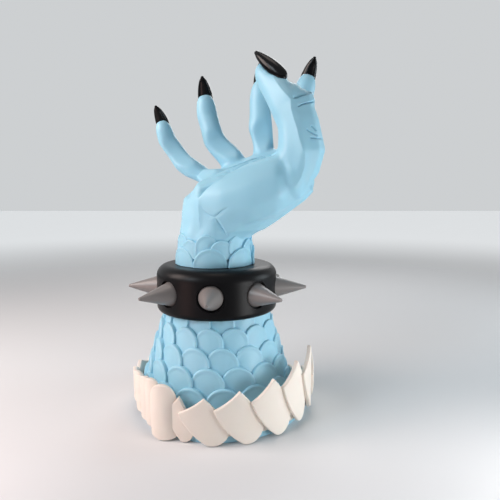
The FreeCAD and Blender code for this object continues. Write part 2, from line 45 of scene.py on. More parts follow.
MM = 0.001
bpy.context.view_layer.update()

Point = tuple[float, float, float]
Line = tuple[tuple[float, float], ...]

# the photograph's camera, in millimetres, and its angle below the level
CAMERA = np.array([22.3, -333.0, 147.5])
CAMERA_PITCH = 7.0


class Slot(Enum):
    """The record's material slots."""

    BLUE = "pale_blue"
    CUFF = "cuff_black"
    SPIKE = "spike_grey"
    RUFF = "ruff_white"
    CLAW = "claw_black"


def linear(code: str) -> tuple[float, float, float, float]:
    """Turns an sRGB hex colour into linear values.

    Args:
        code: six hex digits.

    Returns:
        Red, green, blue and alpha, in linear light.
    """
    channels = []
    for start in (0, 2, 4):
        share = int(code[start:start + 2], 16) / 255.0
        channels.append(share / 12.92 if share <= 0.04045 else ((share + 0.055) / 1.055) ** 2.4)
    return channels[0], channels[1], channels[2], 1.0


# Mesh helpers

def linked(name: str, data: bpy.types.ID) -> bpy.types.Object:
    """Makes an object at the origin and links it to the scene.

    Args:
        name: the object's name.
        data: its mesh, lamp or camera.

    Returns:
        The object.
    """
    holder = bpy.data.objects.new(name, data)
    bpy.context.collection.objects.link(holder)
    return holder


def mesh_piece(name: str, points: np.ndarray, faces: list, smooth: bool = True) -> bpy.types.Object:
    """Makes a linked mesh object from points in millimetres.

    Args:
        name: the object's name.
        points: an array of x, y and z rows.
        faces: lists of point numbers.
        smooth: whether the faces are shaded smooth.

    Returns:
        The object, at the origin.
    """
    mesh = bpy.data.meshes.new(name)
    mesh.from_pydata((np.asarray(points, dtype=float) * MM).tolist(), [], [list(face) for face in faces])
    mesh.polygons.foreach_set("use_smooth", [smooth] * len(mesh.polygons))
    mesh.update()
    return linked(name, mesh)


def lathe(name: str, profile: list[tuple[float, float]], segments: int) -> bpy.types.Object:
    """Turns a profile about the vertical axis.

    Args:
        name: the object's name.
        profile: radius and height of each point, from the bottom on the axis to the top on the axis.
        segments: how many steps a full turn has.

    Returns:
        A closed turned object.
    """
    points: list[Point] = []
    rings: list[list[int]] = []
    for radius, height in profile:
        if radius < 1e-6:
            rings.append([len(points)] * segments)
            points.append((0.0, 0.0, height))
            continue
        rings.append(list(range(len(points), len(points) + segments)))
        for step in range(segments):
            angle = math.tau * step / segments
            points.append((radius * math.sin(angle), -radius * math.cos(angle), height))
    faces = []
    for lower, upper in zip(rings, rings[1:]):
        for step in range(segments):
            after = (step + 1) % segments
            corners = [lower[step], lower[after], upper[after], upper[step]]
            faces.append([corner for index, corner in enumerate(corners) if corner not in corners[:index]])
    return mesh_piece(name, np.array(points), faces)


def grid_faces(rows: int, columns: int) -> list[list[int]]:
    """Quads of a grid whose points are numbered row by row.

    Args:
        rows: the number of rows of points.
        columns: the number of points in a row.

    Returns:
        Lists of four point numbers.
    """
    faces = []
    for row in range(rows - 1):
        for first in range(row * columns, (row + 1) * columns - 1):
            faces.append([first, first + 1, first + columns + 1, first + columns])
    return faces


def tube_faces(rings: int, count: int) -> list[list[int]]:
    """Quads and two end caps of a tube whose points are numbered ring by ring.

    Args:
        rings: the number of rings.
        count: the number of points in a ring.

    Returns:
        Lists of point numbers.
    """
    faces = []
    for first in range(0, (rings - 1) * count, count):
        for step in range(count):
            after = (step + 1) % count
            faces.append([first + step, first + after, first + count + after, first + count + step])
    last = (rings - 1) * count
    return faces + [list(range(count))[::-1], list(range(last, last + count))]


def weld(piece: bpy.types.Object, distance: float) -> None:
    """Joins points of a mesh that are closer than a distance in millimetres.

    Args:
        piece: the mesh object.
        distance: the largest gap that is closed.
    """
    work = bmesh.new()
    work.from_mesh(piece.data)
    bmesh.ops.remove_doubles(work, verts=work.verts, dist=distance * MM)
    work.to_mesh(piece.data)
    work.free()


def settle(piece: bpy.types.Object) -> bpy.types.Object:
    """Replaces an object with modifiers by a plain one with the evaluated mesh.

    Args:
        piece: an object whose modifiers are ready.

    Returns:
        A plain object with the same name.
    """
    depsgraph = bpy.context.evaluated_depsgraph_get()
    mesh = bpy.data.meshes.new_from_object(piece.evaluated_get(depsgraph))
    name = piece.name
    bpy.data.objects.remove(piece)
    mesh.name = name
    return linked(name, mesh)


def soften(piece: bpy.types.Object, rounds: int, group: str = "") -> None:
    """Adds a smoothing modifier.

    Args:
        piece: the mesh object.
        rounds: how often each point moves towards its neighbours.
        group: the vertex group that limits it, if any.
    """
    smooth = piece.modifiers.new("soften", "SMOOTH")
    smooth.factor = 0.5
    smooth.iterations = rounds
    smooth.vertex_group = group


def spots_of(piece: bpy.types.Object) -> np.ndarray:
    """Reads the points of a mesh.

    Args:
        piece: the mesh object.

    Returns:
        The points in millimetres, one in each row.
    """
    spots = np.empty(len(piece.data.vertices) * 3)
    piece.data.vertices.foreach_get("co", spots)
    return spots.reshape(-1, 3) / MM


def set_spots(piece: bpy.types.Object, spots: np.ndarray) -> None:
    """Moves the points of a mesh.

    Args:
        piece: the mesh object.
        spots: their new places in millimetres, one in each row.
    """
    piece.data.vertices.foreach_set("co", (spots * MM).ravel())
    piece.data.update()


def unit(vectors: np.ndarray) -> np.ndarray:
    """Brings vectors to length 1.

    Args:
        vectors: one in each row.

    Returns:
        The directions, one in each row.
    """
    return vectors / np.linalg.norm(vectors, axis=1)[:, None]


def normals_of(piece: bpy.types.Object) -> np.ndarray:
    """Reads the normal at each point of a mesh.

    Args:
        piece: the mesh object.

    Returns:
        The normals, one in each row.
    """
    normals = np.empty(len(piece.data.vertices) * 3)
    piece.data.vertices.foreach_get("normal", normals)
    return normals.reshape(-1, 3)


def faces_camera(piece: bpy.types.Object) -> np.ndarray:
    """How far each point of a mesh faces the camera.

    Args:
        piece: the mesh object.

    Returns:
        Shares from 0 to 1, with 1 for all that are turned to it by more than a fifth.
    """
    towards = unit(CAMERA - spots_of(piece))
    return np.clip((normals_of(piece) * towards).sum(axis=1) * 5.0, 0.0, 1.0)


# Nodes and materials

def add_node(tree: bpy.types.NodeTree, kind: str, values: dict | None = None,
             **settings: str) -> bpy.types.Node:
    """Adds a node to a tree.

    Args:
        tree: the node tree.
        kind: the node's type.
        values: constants or output sockets for its inputs.
        settings: its other properties.

    Returns:
        The node.
    """
    node = tree.nodes.new(kind)
    for key, setting in settings.items():
        setattr(node, key, setting)
    for key, given in (values or {}).items():
        if isinstance(given, bpy.types.NodeSocket):
            tree.links.new(given, node.inputs[key])
        else:
            node.inputs[key].default_value = given
    return node


def paint(name: str) -> tuple[bpy.types.Material, bpy.types.NodeTree]:
    """Starts a material with an empty node tree.

    Args:
        name: the material's name.

    Returns:
        The material and its tree.
    """
    material = bpy.data.materials.new(name)
    material.use_nodes = True
    material.node_tree.nodes.clear()
    return material, material.node_tree


@dataclass(frozen=True)
class Plastic:
    """A painted or moulded plastic with a fine grain and slow shifts of tone."""

    name: str
    tone: str
    deep: str
    roughness: float
    # a few times as coarse as the real grain, which would be too fine to show
    grain_mm: float
    grain_depth: float
    subsurface: float = 0.0
    specular: float = 0.5
    cloud_mm: float = 22.0
    grain_strength: float = 0.35
    sheen_spread: float = 0.05
    scatter_mm: float = 2.0

    def build(self) -> bpy.types.Material:
        """Makes the material.

        Returns:
            A procedural material in object coordinates.
        """
        material, tree = paint(self.name)
        spot = add_node(tree, "ShaderNodeTexCoord").outputs["Object"]
        cloud = add_node(tree, "ShaderNodeTexNoise", {
            "Vector": spot, "Scale": 1.0 / (self.cloud_mm * MM), "Detail": 3.0})
        mix = add_node(tree, "ShaderNodeMix", {
            "Factor": cloud.outputs["Fac"], 6: linear(self.deep), 7: linear(self.tone)}, data_type="RGBA")
        grain = add_node(tree, "ShaderNodeTexNoise", {
            "Vector": spot, "Scale": 1.0 / (self.grain_mm * MM), "Detail": 4.0}).outputs["Fac"]
        bump = add_node(tree, "ShaderNodeBump", {
            "Height": grain, "Strength": self.grain_strength, "Distance": self.grain_depth * MM})
        sheen = add_node(tree, "ShaderNodeMapRange", {
            "Value": grain, "To Min": self.roughness - self.sheen_spread,
            "To Max": self.roughness + self.sheen_spread})
        surface = add_node(tree, "ShaderNodeBsdfPrincipled", {
            "Base Color": mix.outputs[2], "Roughness": sheen.outputs["Result"],
            "Normal": bump.outputs["Normal"], "Specular IOR Level": self.specular,
            "Subsurface Weight": self.subsurface, "Subsurface Scale": self.scatter_mm * MM})
        add_node(tree, "ShaderNodeOutputMaterial", {"Surface": surface.outputs["BSDF"]})
        return material


# Repeats by geometry nodes

class RingOfCopies:
    """A node group that spreads copies of a piece about the vertical axis."""

    def __init__(self) -> None:
        """Builds the group once."""
        group = bpy.data.node_groups.new("ring_of_copies", "GeometryNodeTree")
        sides = group.interface
        sides.new_socket("Geometry", in_out="OUTPUT", socket_type="NodeSocketGeometry")
        sides.new_socket("Piece", in_out="INPUT", socket_type="NodeSocketObject")
        sides.new_socket("Count", in_out="INPUT", socket_type="NodeSocketInt")
        sides.new_socket("Phase", in_out="INPUT", socket_type="NodeSocketFloat")
        sides.new_socket("Centre", in_out="INPUT", socket_type="NodeSocketVector")
        sides.new_socket("Finish", in_out="INPUT", socket_type="NodeSocketMaterial")
        given = add_node(group, "NodeGroupInput").outputs
        info = add_node(group, "GeometryNodeObjectInfo", {"Object": given["Piece"]})
        points = add_node(group, "GeometryNodePoints", {"Count": given["Count"], "Position": given["Centre"]})
        index = add_node(group, "GeometryNodeInputIndex")
        step = add_node(group, "ShaderNodeMath", {0: math.tau, 1: given["Count"]}, operation="DIVIDE")
        turn = add_node(group, "ShaderNodeMath", {
            0: index.outputs[0], 1: step.outputs[0], 2: given["Phase"]}, operation="MULTIPLY_ADD")
        angles = add_node(group, "ShaderNodeCombineXYZ", {"Z": turn.outputs[0]})
        copies = add_node(group, "GeometryNodeInstanceOnPoints", {
            "Points": points.outputs[0], "Instance": info.outputs["Geometry"], "Rotation": angles.outputs[0]})
        real = add_node(group, "GeometryNodeRealizeInstances", {"Geometry": copies.outputs[0]})
        painted = add_node(group, "GeometryNodeSetMaterial", {
            "Geometry": real.outputs[0], "Material": given["Finish"]})
        add_node(group, "NodeGroupOutput", {"Geometry": painted.outputs[0]})
        self.group = group

    def spread(self, name: str, piece: bpy.types.Object, count: int, phase: float, centre: Point,
               finish: bpy.types.Material) -> bpy.types.Object:
        """Makes one plain object of copies spread evenly round a ring.

        Args:
            name: the new object's name.
            piece: what is copied, which is removed afterwards.
            count: how many copies there are.
            phase: azimuth of the first copy, in degrees.
            centre: centre of the ring, in millimetres.
            finish: the copies' material.

        Returns:
            The plain object.
        """
        carrier = linked(name, bpy.data.meshes.new(name))
        modifier = carrier.modifiers.new("copies", "NODES")
        modifier.node_group = self.group
        chosen = {
            "Piece": piece, "Count": count, "Phase": math.radians(phase),
            "Centre": [number * MM for number in centre], "Finish": finish}
        for socket in self.group.interface.items_tree:
            if socket.in_out == "INPUT":
                modifier[socket.identifier] = chosen[socket.name]
        carrier.update_tag()
        plain = settle(carrier)
        bpy.data.objects.remove(piece)
        return plain


def join(name: str, pieces: list[bpy.types.Object]) -> bpy.types.Object:
    """Joins plain mesh objects into one.

    Args:
        name: the name of the result.
        pieces: the objects, which are used up.

    Returns:
        The joined object.
    """
    bpy.ops.object.select_all(action="DESELECT")
    for piece in pieces:
        piece.select_set(True)
    bpy.context.view_layer.objects.active = pieces[0]
    bpy.ops.object.join()
    pieces[0].name = name
    pieces[0].data.name = name
    return pieces[0]


@dataclass(frozen=True)
class ScaleForm:
    """One scale with an arched top, a raised rim and a softly domed face that turns towards one side."""

    half_turn: float
    reach: float
    lean: float
    spread: float = 1.14
    tilt: float = 0.8
    thick: float = 2.2
    rim: float = 0.35
    rim_width: float = 2.0
    dome: float = 0.05
    bevel: float = 0.9
    # distances from the edge at which the face has a ring of points
    insets: tuple[float, ...] = (0.1, 0.3, 0.6, 0.95, 1.4, 2.0, 2.6, 3.3, 4.4, 6.2)

    def relief(self, inset: np.ndarray) -> np.ndarray:
        """Height of the face against its distance from the edge.

        Args:
            inset: distances from the edge in millimetres.

        Returns:
            Heights in millimetres, zero on the crest of the rim.
        """
        inside = np.clip(inset, 0.0, self.bevel)
        edge = np.sqrt(np.maximum(self.bevel ** 2 - (self.bevel - inside) ** 2, 0.0)) - self.bevel
        past = np.clip((inset - self.bevel) / self.rim_width, 0.0, 1.0)
        dip = -self.rim * (0.5 - 0.5 * np.cos(math.pi * past))
        rise = self.dome * np.clip(inset - self.bevel - self.rim_width, 0.0, None)
        return edge + dip + rise

    def build(self, name: str, top: float, radius: float, hidden: float = 0.0) -> bpy.types.Object:
        """Makes the scale at azimuth 0.

        Args:
            name: the object's name.
            top: level of the crown.
            radius: radius of the face at the crown.
            hidden: how much of the crown is cut off level, in millimetres.

        Returns:
            The scale.
        """
        step = math.radians(self.half_turn) * radius
        half = step * self.spread
        straight = np.linspace(max(half, hidden), self.reach, 6)
        outline = [(-half, down) for down in straight[::-1]]
        middle = [(0.0, down) for down in straight[::-1]]
        if hidden < half:
            for angle in np.linspace(-90.0, 90.0, 27)[1:-1]:
                turn = math.radians(angle)
                outline.append((half * math.sin(turn), half - half * math.cos(turn)))
                middle.append((0.0, half))
        outline += [(half, down) for down in straight]
        middle += [(0.0, down) for down in straight]
        rims = np.array(outline)
        inner = np.array(middle)
        rows = []
        for inset, sink in [(0.0, self.thick)] + [(inset, 0.0) for inset in (0.0, *self.insets, half)]:
            share = min(inset, half) / half
            flat = rims + (inner - rims) * share
            away = radius + self.lean * flat[:, 1] + self.relief(np.full(len(flat), share * half)) - sink
            away += self.tilt * flat[:, 0] / half
            azimuth = flat[:, 0] / step * math.radians(self.half_turn)
            rows.append(np.column_stack([away * np.sin(azimuth), -away * np.cos(azimuth),
                                         top - np.maximum(flat[:, 1], hidden)]))
        faces = [face[::-1] for face in grid_faces(len(rows), len(outline))]
        piece = mesh_piece(name, np.concatenate(rows), faces)
        weld(piece, 0.01)
        return piece


@dataclass
class Forearm:
    """The round foot, the tapered arm and its rings of scales."""

    flange_radius: float = 58.4
    flange_height: float = 5.0
    shown_radius: float = 56.5
    shown_centre: tuple[float, float] = (6.4, -1.5)
    arm_foot_radius: float = 53.4
    shoulder_radius: float = 32.6
    shoulder_height: float = 67.4
    count: int = 15
    pitch: float = 11.3
    first_top: float = 62.7
    first_radius: float = 37.8
    growth: float = 3.65
    lean: float = 0.146
    turn: float = 7.5
    # row 0 is the first whole one under the shoulder, and the row above it is cut off level there
    first_row: int = -1
    last_row: int = 4
    sink: float = 0.4
    segments: int = 120

    def build(self, ring: RingOfCopies, finish: bpy.types.Material) -> bpy.types.Object:
        """Makes the arm.

        Args:
            ring: the node group that spreads the scales.
            finish: the material.

        Returns:
            One object for the whole forearm.
        """
        edge = self.flange_radius
        level = self.flange_height
        # the rounded rim of the foot, the top of its flange and the plain cone behind the scales
        core = lathe("arm_core", [
            (0.0, 0.0), (edge - 1.2, 0.0), (edge - 0.5, 0.3), (edge, 1.2), (edge, level - 0.8),
            (edge - 0.3, level - 0.2), (edge - 0.9, level), (self.arm_foot_radius - 0.6, level),
            (self.shoulder_radius, self.shoulder_height - 1.0), (self.shoulder_radius, self.shoulder_height),
            (0.0, self.shoulder_height)], self.segments)
        self.trim_foot(core)
        core.data.materials.append(finish)
        parts = [core]
        half_turn = 180.0 / self.count
        for step in range(self.first_row, self.last_row + 1):
            top = self.first_top - self.pitch * step
            radius = self.first_radius + self.growth * step
            reach = min(self.pitch * 2, top - level + self.sink)
            hidden = max(top - self.shoulder_height, 0.0)
            scale = ScaleForm(half_turn, reach, self.lean).build("scale", top, radius, hidden)
            phase = self.turn - half_turn * (1 - step % 2)
            parts.append(ring.spread(f"scales_{step}", scale, self.count, phase, (0.0, 0.0, 0.0), finish))
        return join("forearm_dressed", parts)

    def trim_foot(self, core: bpy.types.Object) -> None:
        """Draws the rim of the foot in, so that the leaves hide most of it.

        Args:
            core: the turned core with its round foot.
        """
        middle = Vector((*self.shown_centre, 0.0)) * MM
        widest = self.shown_radius * MM
        for point in core.data.vertices:
            flat = Vector((point.co.x, point.co.y, 0.0)) - middle
            if point.co.z < (self.flange_height + 0.1) * MM and flat.length > widest:
                point.co += flat * (widest / flat.length - 1.0)


def cad_copy(name: str, node: str) -> bpy.types.Object:
    """A merged copy of a CAD node's mesh, in the row frame.

    Args:
        name: the copy's name.
        node: the CAD node.

    Returns:
        The copy, at the origin, with its points welded.
    """
    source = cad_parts[node]
    mesh = source.data.copy()
    mesh.transform(source.matrix_world)
    mesh.materials.clear()
    piece = linked(name, mesh)
    weld(piece, 0.002)
    return piece


# Marks on the hand, drawn on the upright plane through the arm's axis as the camera sees them

def seen(spots: np.ndarray) -> np.ndarray:
    """Where points appear on the plane y = 0 from the camera's place.

    Args:
        spots: rows of x, y and z in millimetres.

    Returns:
        Rows of x and z.
    """
    share = -CAMERA[1] / (spots[:, 1] - CAMERA[1])
    return CAMERA[[0, 2]] + (spots[:, [0, 2]] - CAMERA[[0, 2]]) * share[:, None]


def off_line(flat: np.ndarray, line: Line) -> tuple[np.ndarray, np.ndarray]:
    """Distance of points from a drawn line, and how far along it they lie.

    Args:
        flat: rows of x and z.
        line: the line's corners.

    Returns:
        Distances, positive on the left of the line, and shares of its length.
    """
    corners = np.array(line, dtype=float)
    lengths = np.linalg.norm(np.diff(corners, axis=0), axis=1)
    away = np.full(len(flat), 1e9)
    along = np.zeros(len(flat))
    for index, (start, end) in enumerate(zip(corners, corners[1:])):
        span = end - start
        share = np.clip((flat - start) @ span / (span @ span), 0.0, 1.0)
        gap = flat - start - share[:, None] * span
        distance = np.linalg.norm(gap, axis=1)
        side = np.where(span[0] * gap[:, 1] - span[1] * gap[:, 0] >= 0.0, 1.0, -1.0)
        nearer = distance < np.abs(away)
        away = np.where(nearer, side * distance, away)
        along = np.where(nearer, (lengths[:index].sum() + share * lengths[index]) / lengths.sum(), along)
    return away, along


@dataclass(frozen=True)
class Mark:
    """A crease, or a ridge where its depth is negative, with a width on each side of its line."""

    depth: float
    left: float
    right: float
    line: Line
    behind: float = 2.0
    fade: float = 0.2
    crisp: bool = True

    def strength(self, spots: np.ndarray, facing: np.ndarray) -> np.ndarray:
        """How strongly each point takes part.

        Args:
            spots: the points in millimetres.
            facing: which points face the camera.

        Returns:
            Shares from 0 to 1.
        """
        away, along = off_line(seen(spots), self.line)
        width = np.where(away > 0.0, self.left, self.right)
        share = np.clip(1.0 - np.abs(away) / width, 0.0, 1.0)
        share = share ** 2 if self.crisp else share * share * (3.0 - 2.0 * share)
        ends = np.clip(np.minimum(along, 1.0 - along) / self.fade, 0.0, 1.0) if self.fade else 1.0
        return share * ends * facing * (spots[:, 1] < self.behind)


@dataclass(frozen=True)
class Push:
    """A soft shift of all points near a drawn line."""

    shift: Point
    radius: float
    line: Line
    front: float
    behind: float

    def apply(self, spots: np.ndarray) -> np.ndarray:
        """Moves the points.

        Args:
            spots: the points in millimetres.

        Returns:
            The moved points.
        """
        away, _ = off_line(seen(spots), self.line)
        share = np.clip(1.0 - (away / self.radius) ** 2, 0.0, 1.0) ** 2
        share = share * (spots[:, 1] > self.front) * (spots[:, 1] < self.behind)
        return spots + share[:, None] * np.array(self.shift)


@dataclass
class Hand:
    """The hand, softened from its facets, with creases, and scales round the wrist."""

    voxel: float = 0.9
    first_rounds: int = 8
    # how steeply the softening of a part fades out towards its reach
    steep: float = 1.6
    # distances from a mark within which the faces are divided, once for each
    fine: tuple[float, float] = (1.5, 0.8)
    wrist_radius: float = 23.7
    wrist_centre_x: float = -0.9
    # shift of the wrist, fading out over its upper part, and how far its skin stays below the scales
    wrist_shift: float = -1.9
    shift_top: float = 128.0
    shift_fade: float = 16.0
    skin_depth: float = 0.6
    skin_top: float = 121.0
    skin_fade: float = 7.0
    low: float = 98.0
    count: int = 7
    # top above the foot of the wrist, height over the skin, length, azimuth and spread of each ring
    rings: tuple[tuple[float, float, float, float, float], ...] = (
        (12.3, 2.15, 12.1, -3.4, 0.99), (17.4, 1.2, 12.0, 14.0, 0.72), (20.8, 0.6, 12.0, -9.0, 0.72))
    soft: tuple[tuple[int, float, Line], ...] = (
        # rounds, reach and line of each part that has no facets
        (110, 19.0, ((-9.0, 130.0), (5.7, 140.0), (22.3, 147.0), (38.0, 152.0))),
        (60, 10.0, ((30.0, 214.0), (40.0, 203.0), (45.0, 190.0), (46.0, 178.0), (46.0, 164.0))),
        (45, 60.0, ((-10.0, 205.0), (40.0, 228.0))),
    )
    pushes: tuple[Push, ...] = (
        Push((-2.0, 0.6, -2.9), 9.0, ((53.0, 217.5), (56.0, 214.5)), -60.0, 3.0),
        Push((5.5, 0.0, -0.5), 8.0, ((-17.5, 147.0), (-16.5, 149.5)), -10.0, 60.0),
        Push((1.5, 0.0, 1.3), 5.5, ((60.5, 209.0), (62.8, 204.5)), -60.0, 3.0),
        Push((1.2, 0.0, 1.6), 4.5, ((52.0, 212.3), (55.5, 210.5)), -60.0, 3.0),
        Push((-1.6, 0.0, -1.1), 3.5, ((46.3, 222.8), (48.7, 218.5)), -60.0, 3.0),
        Push((-1.8, 0.0, 0.0), 6.0, ((66.2, 152.6), (65.5, 150.5)), -60.0, 6.0),
        Push((2.6, 0.0, 0.0), 13.0, ((8.0, 168.0), (22.0, 174.0)), 4.0, 60.0),
    )
    marks: tuple[Mark, ...] = (
        # upper edge of the ball of the thumb
        Mark(3.9, 1.6, 7.0, ((40.0, 171.3), (35.4, 170.0), (30.2, 168.4), (23.6, 166.1), (17.7, 163.9),
                             (13.1, 161.6), (8.5, 159.3), (5.2, 157.1), (1.9, 154.4), (-2.8, 151.8),
                             (-7.4, 148.2), (-10.1, 145.3), (-12.2, 141.3)), 12.0, 0.1),
        # hollow where the thumb rises from the palm
        Mark(1.2, 4.5, 7.0, ((40.0, 168.1), (43.3, 165.5), (45.3, 161.0), (46.0, 154.4), (47.1, 148.6),
                             (49.5, 142.6), (53.5, 137.4)), crisp=False),
        # edge between the front and the right face of the thumb
        Mark(-1.3, 6.5, 9.0, ((35.2, 222.5), (38.4, 216.9), (43.0, 210.7), (48.8, 204.4), (49.2, 198.7),
                              (50.9, 193.0), (52.9, 187.3), (55.0, 179.0), (58.0, 170.0), (57.8, 162.3),
                              (55.3, 154.4), (51.4, 146.6)), 2.0, 0.12),
        # two lines round the thumb's joint and three short ones below
        Mark(1.3, 3.4, 0.7, ((49.8, 205.2), (53.3, 206.1), (60.4, 208.7), (63.4, 209.8)), fade=0.1),
        Mark(1.5, 0.9, 0.8, ((53.1, 200.3), (57.3, 202.2), (64.1, 203.6)), fade=0.1),
        Mark(1.6, 0.9, 0.8, ((58.8, 186.1), (62.1, 184.0), (66.4, 181.7)), fade=0.1),
        Mark(1.5, 0.8, 0.8, ((62.0, 188.0), (64.0, 186.7), (65.7, 185.0)), fade=0.1),
        Mark(1.6, 0.9, 0.8, ((61.5, 180.6), (65.4, 180.4), (69.3, 179.9)), fade=0.1),
        # creases of the heel and the wrist
        Mark(0.8, 1.3, 3.0, ((-10.2, 135.4), (-7.6, 132.1), (-4.3, 129.4), (-1.7, 128.7), (0.3, 130.1),
                             (3.7, 132.7), (8.4, 135.4)), 2.0, 0.3),
        Mark(1.9, 1.2, 6.0, ((-1.0, 128.5), (3.0, 122.1), (7.6, 114.7)), 2.0, 0.3),
        Mark(-0.6, 3.0, 3.0, ((-11.8, 143.3), (-11.6, 134.7), (-11.3, 128.1), (-11.1, 120.1)), 2.0, 0.3),
    )

    def build(self, ring: RingOfCopies, finish: bpy.types.Material) -> bpy.types.Object:
        """Makes the hand from the CAD form.

        Args:
            ring: the node group that spreads the scales.
            finish: the material.

        Returns:
            The softened hand.
        """
        piece = cad_copy("hand_dressed", "hand")
        remesh = piece.modifiers.new("remesh", "REMESH")
        remesh.mode = "VOXEL"
        remesh.voxel_size = self.voxel * MM
        soften(piece, self.first_rounds)
        piece = settle(piece)
        for number, (rounds, reach, line) in enumerate(self.soft):
            away, _ = off_line(seen(spots_of(piece)), line)
            share = np.clip(self.steep - self.steep * np.abs(away) / reach, 0.0, 1.0)
            group = piece.vertex_groups.new(name=f"soft_{number}")
            for index in np.flatnonzero(share > 0.01):
                group.add([int(index)], float(share[index]), "REPLACE")
            soften(piece, rounds, group.name)
            piece = settle(piece)
        self.shape(piece)
        self.refine(piece)
        self.engrave(piece)
        piece.data.materials.clear()
        piece.data.materials.append(finish)
        piece.data.polygons.foreach_set("use_smooth", [True] * len(piece.data.polygons))
        return join("hand_dressed", [piece] + self.wrist(ring, finish))

    def shape(self, piece: bpy.types.Object) -> None:
        """Shifts the parts whose outline the facets only come near to.

        Args:
            piece: the softened hand.
        """
        spots = spots_of(piece)
        for push in self.pushes:
            spots = push.apply(spots)
        share = np.clip((self.shift_top - spots[:, 2]) / self.shift_fade, 0.0, 1.0)
        spots[:, 0] += self.wrist_shift * share * share * (3.0 - 2.0 * share)
        away = np.hypot(spots[:, 0] - self.wrist_centre_x, spots[:, 1])
        slim = np.clip((self.wrist_radius - self.skin_depth) / away, 0.0, 1.0) - 1.0
        slim = slim * np.clip((self.skin_top - spots[:, 2]) / self.skin_fade, 0.0, 1.0)
        spots[:, 0] += slim * (spots[:, 0] - self.wrist_centre_x)
        spots[:, 1] += slim * spots[:, 1]
        set_spots(piece, spots)

    def refine(self, piece: bpy.types.Object) -> None:
        """Divides the faces under the marks, so that they come out crisp.

        Args:
            piece: the hand.
        """
        for reach in self.fine:
            spots = spots_of(piece)
            facing = faces_camera(piece)
            near = np.zeros(len(spots), dtype=bool)
            for mark in self.marks:
                away, _ = off_line(seen(spots), mark.line)
                near |= (np.abs(away) < reach) & (facing > 0) & (spots[:, 1] < mark.behind)
            work = bmesh.new()
            work.from_mesh(piece.data)
            work.verts.ensure_lookup_table()
            edges = [edge for edge in work.edges if near[edge.verts[0].index] and near[edge.verts[1].index]]
            bmesh.ops.subdivide_edges(work, edges=edges, cuts=1, use_grid_fill=True)
            work.to_mesh(piece.data)
            work.free()

    def engrave(self, piece: bpy.types.Object) -> None:
        """Presses the creases in and raises the ridges.

        Args:
            piece: the refined hand.
        """
        spots = spots_of(piece)
        facing = faces_camera(piece)
        normals = normals_of(piece)
        depth = np.zeros(len(spots))
        for mark in self.marks:
            depth += mark.depth * mark.strength(spots, facing)
        set_spots(piece, spots - normals * depth[:, None])

    def wrist(self, ring: RingOfCopies, finish: bpy.types.Material) -> list[bpy.types.Object]:
        """Makes the three rings of scales round the wrist.

        Args:
            ring: the node group that spreads the scales.
            finish: the material.

        Returns:
            One object for each ring.
        """
        half_turn = 180.0 / self.count
        rows = []
        for number, (top, proud, reach, phase, spread) in enumerate(self.rings):
            form = ScaleForm(half_turn, reach, 0.02, spread=spread, tilt=-0.7, thick=2.6, rim=0.3, bevel=0.7)
            scale = form.build("scale", self.low + top, self.wrist_radius + proud)
            rows.append(ring.spread(f"wrist_{number}", scale, self.count, phase,
                                    (self.wrist_centre_x, 0.0, 0.0), finish))
        return rows


class LeafKind(Enum):
    """The three outlines of a leaf: four corners, a point on the curve after each, its bend and its turn."""

    FIN = (((-0.68, -0.32), (0.09, -0.985), (0.70, -0.72), (0.0, 0.0)),
           ((-0.40, -0.67), (0.30, -1.0), (0.45, -0.37), (-0.33, -0.185)), 48.0, 6.0)
    PETAL = (((-0.50, -0.27), (-0.46, -0.94), (0.44, -0.94), (0.43, -0.25)),
             ((-0.53, -0.60), (0.0, -1.0), (0.46, -0.60), (-0.03, 0.0)), 12.5, 17.0)
    SLIM = (((-0.50, -0.36), (-0.47, -0.94), (0.42, -0.94), (0.38, -0.30)),
            ((-0.53, -0.60), (0.0, -1.0), (0.42, -0.60), (0.12, -0.005)), 9.0, 17.0)


@dataclass(frozen=True)
class Leaf:
    """One leaf of the ruff: azimuth of its top, its level, height, width and step out."""

    azimuth: float
    top: float
    tall: float
    wide: float
    out: float = 0.0
    kind: LeafKind = LeafKind.FIN


def arc(start: np.ndarray, via: np.ndarray, end: np.ndarray, count: int) -> np.ndarray:
    """Points along the arc through three points in a plane, without its end.

    Args:
        start: the first point.
        via: a point on the way.
        end: the last point.
        count: how many points are given.

    Returns:
        The points, one in each row.
    """
    (ax, ay), (bx, by), (cx, cy) = start, via, end
    twice = 2.0 * (ax * (by - cy) + bx * (cy - ay) + cx * (ay - by))
    shares = np.linspace(0.0, 1.0, count, endpoint=False)[:, None]
    if abs(twice) < 1e-6:
        return start + (end - start) * shares
    squares = [ax * ax + ay * ay, bx * bx + by * by, cx * cx + cy * cy]
    middle = np.array([
        (squares[0] * (by - cy) + squares[1] * (cy - ay) + squares[2] * (ay - by)) / twice,
        (squares[0] * (cx - bx) + squares[1] * (ax - cx) + squares[2] * (bx - ax)) / twice])
    angles = [math.atan2(*(point - middle)[::-1]) for point in (start, via, end)]
    sweep = (angles[2] - angles[0]) % math.tau
    if (angles[1] - angles[0]) % math.tau > sweep:
        sweep -= math.tau
    turn = angles[0] + sweep * shares[:, 0]
    radius = np.linalg.norm(start - middle)
    return middle + radius * np.column_stack([np.cos(turn), np.sin(turn)])


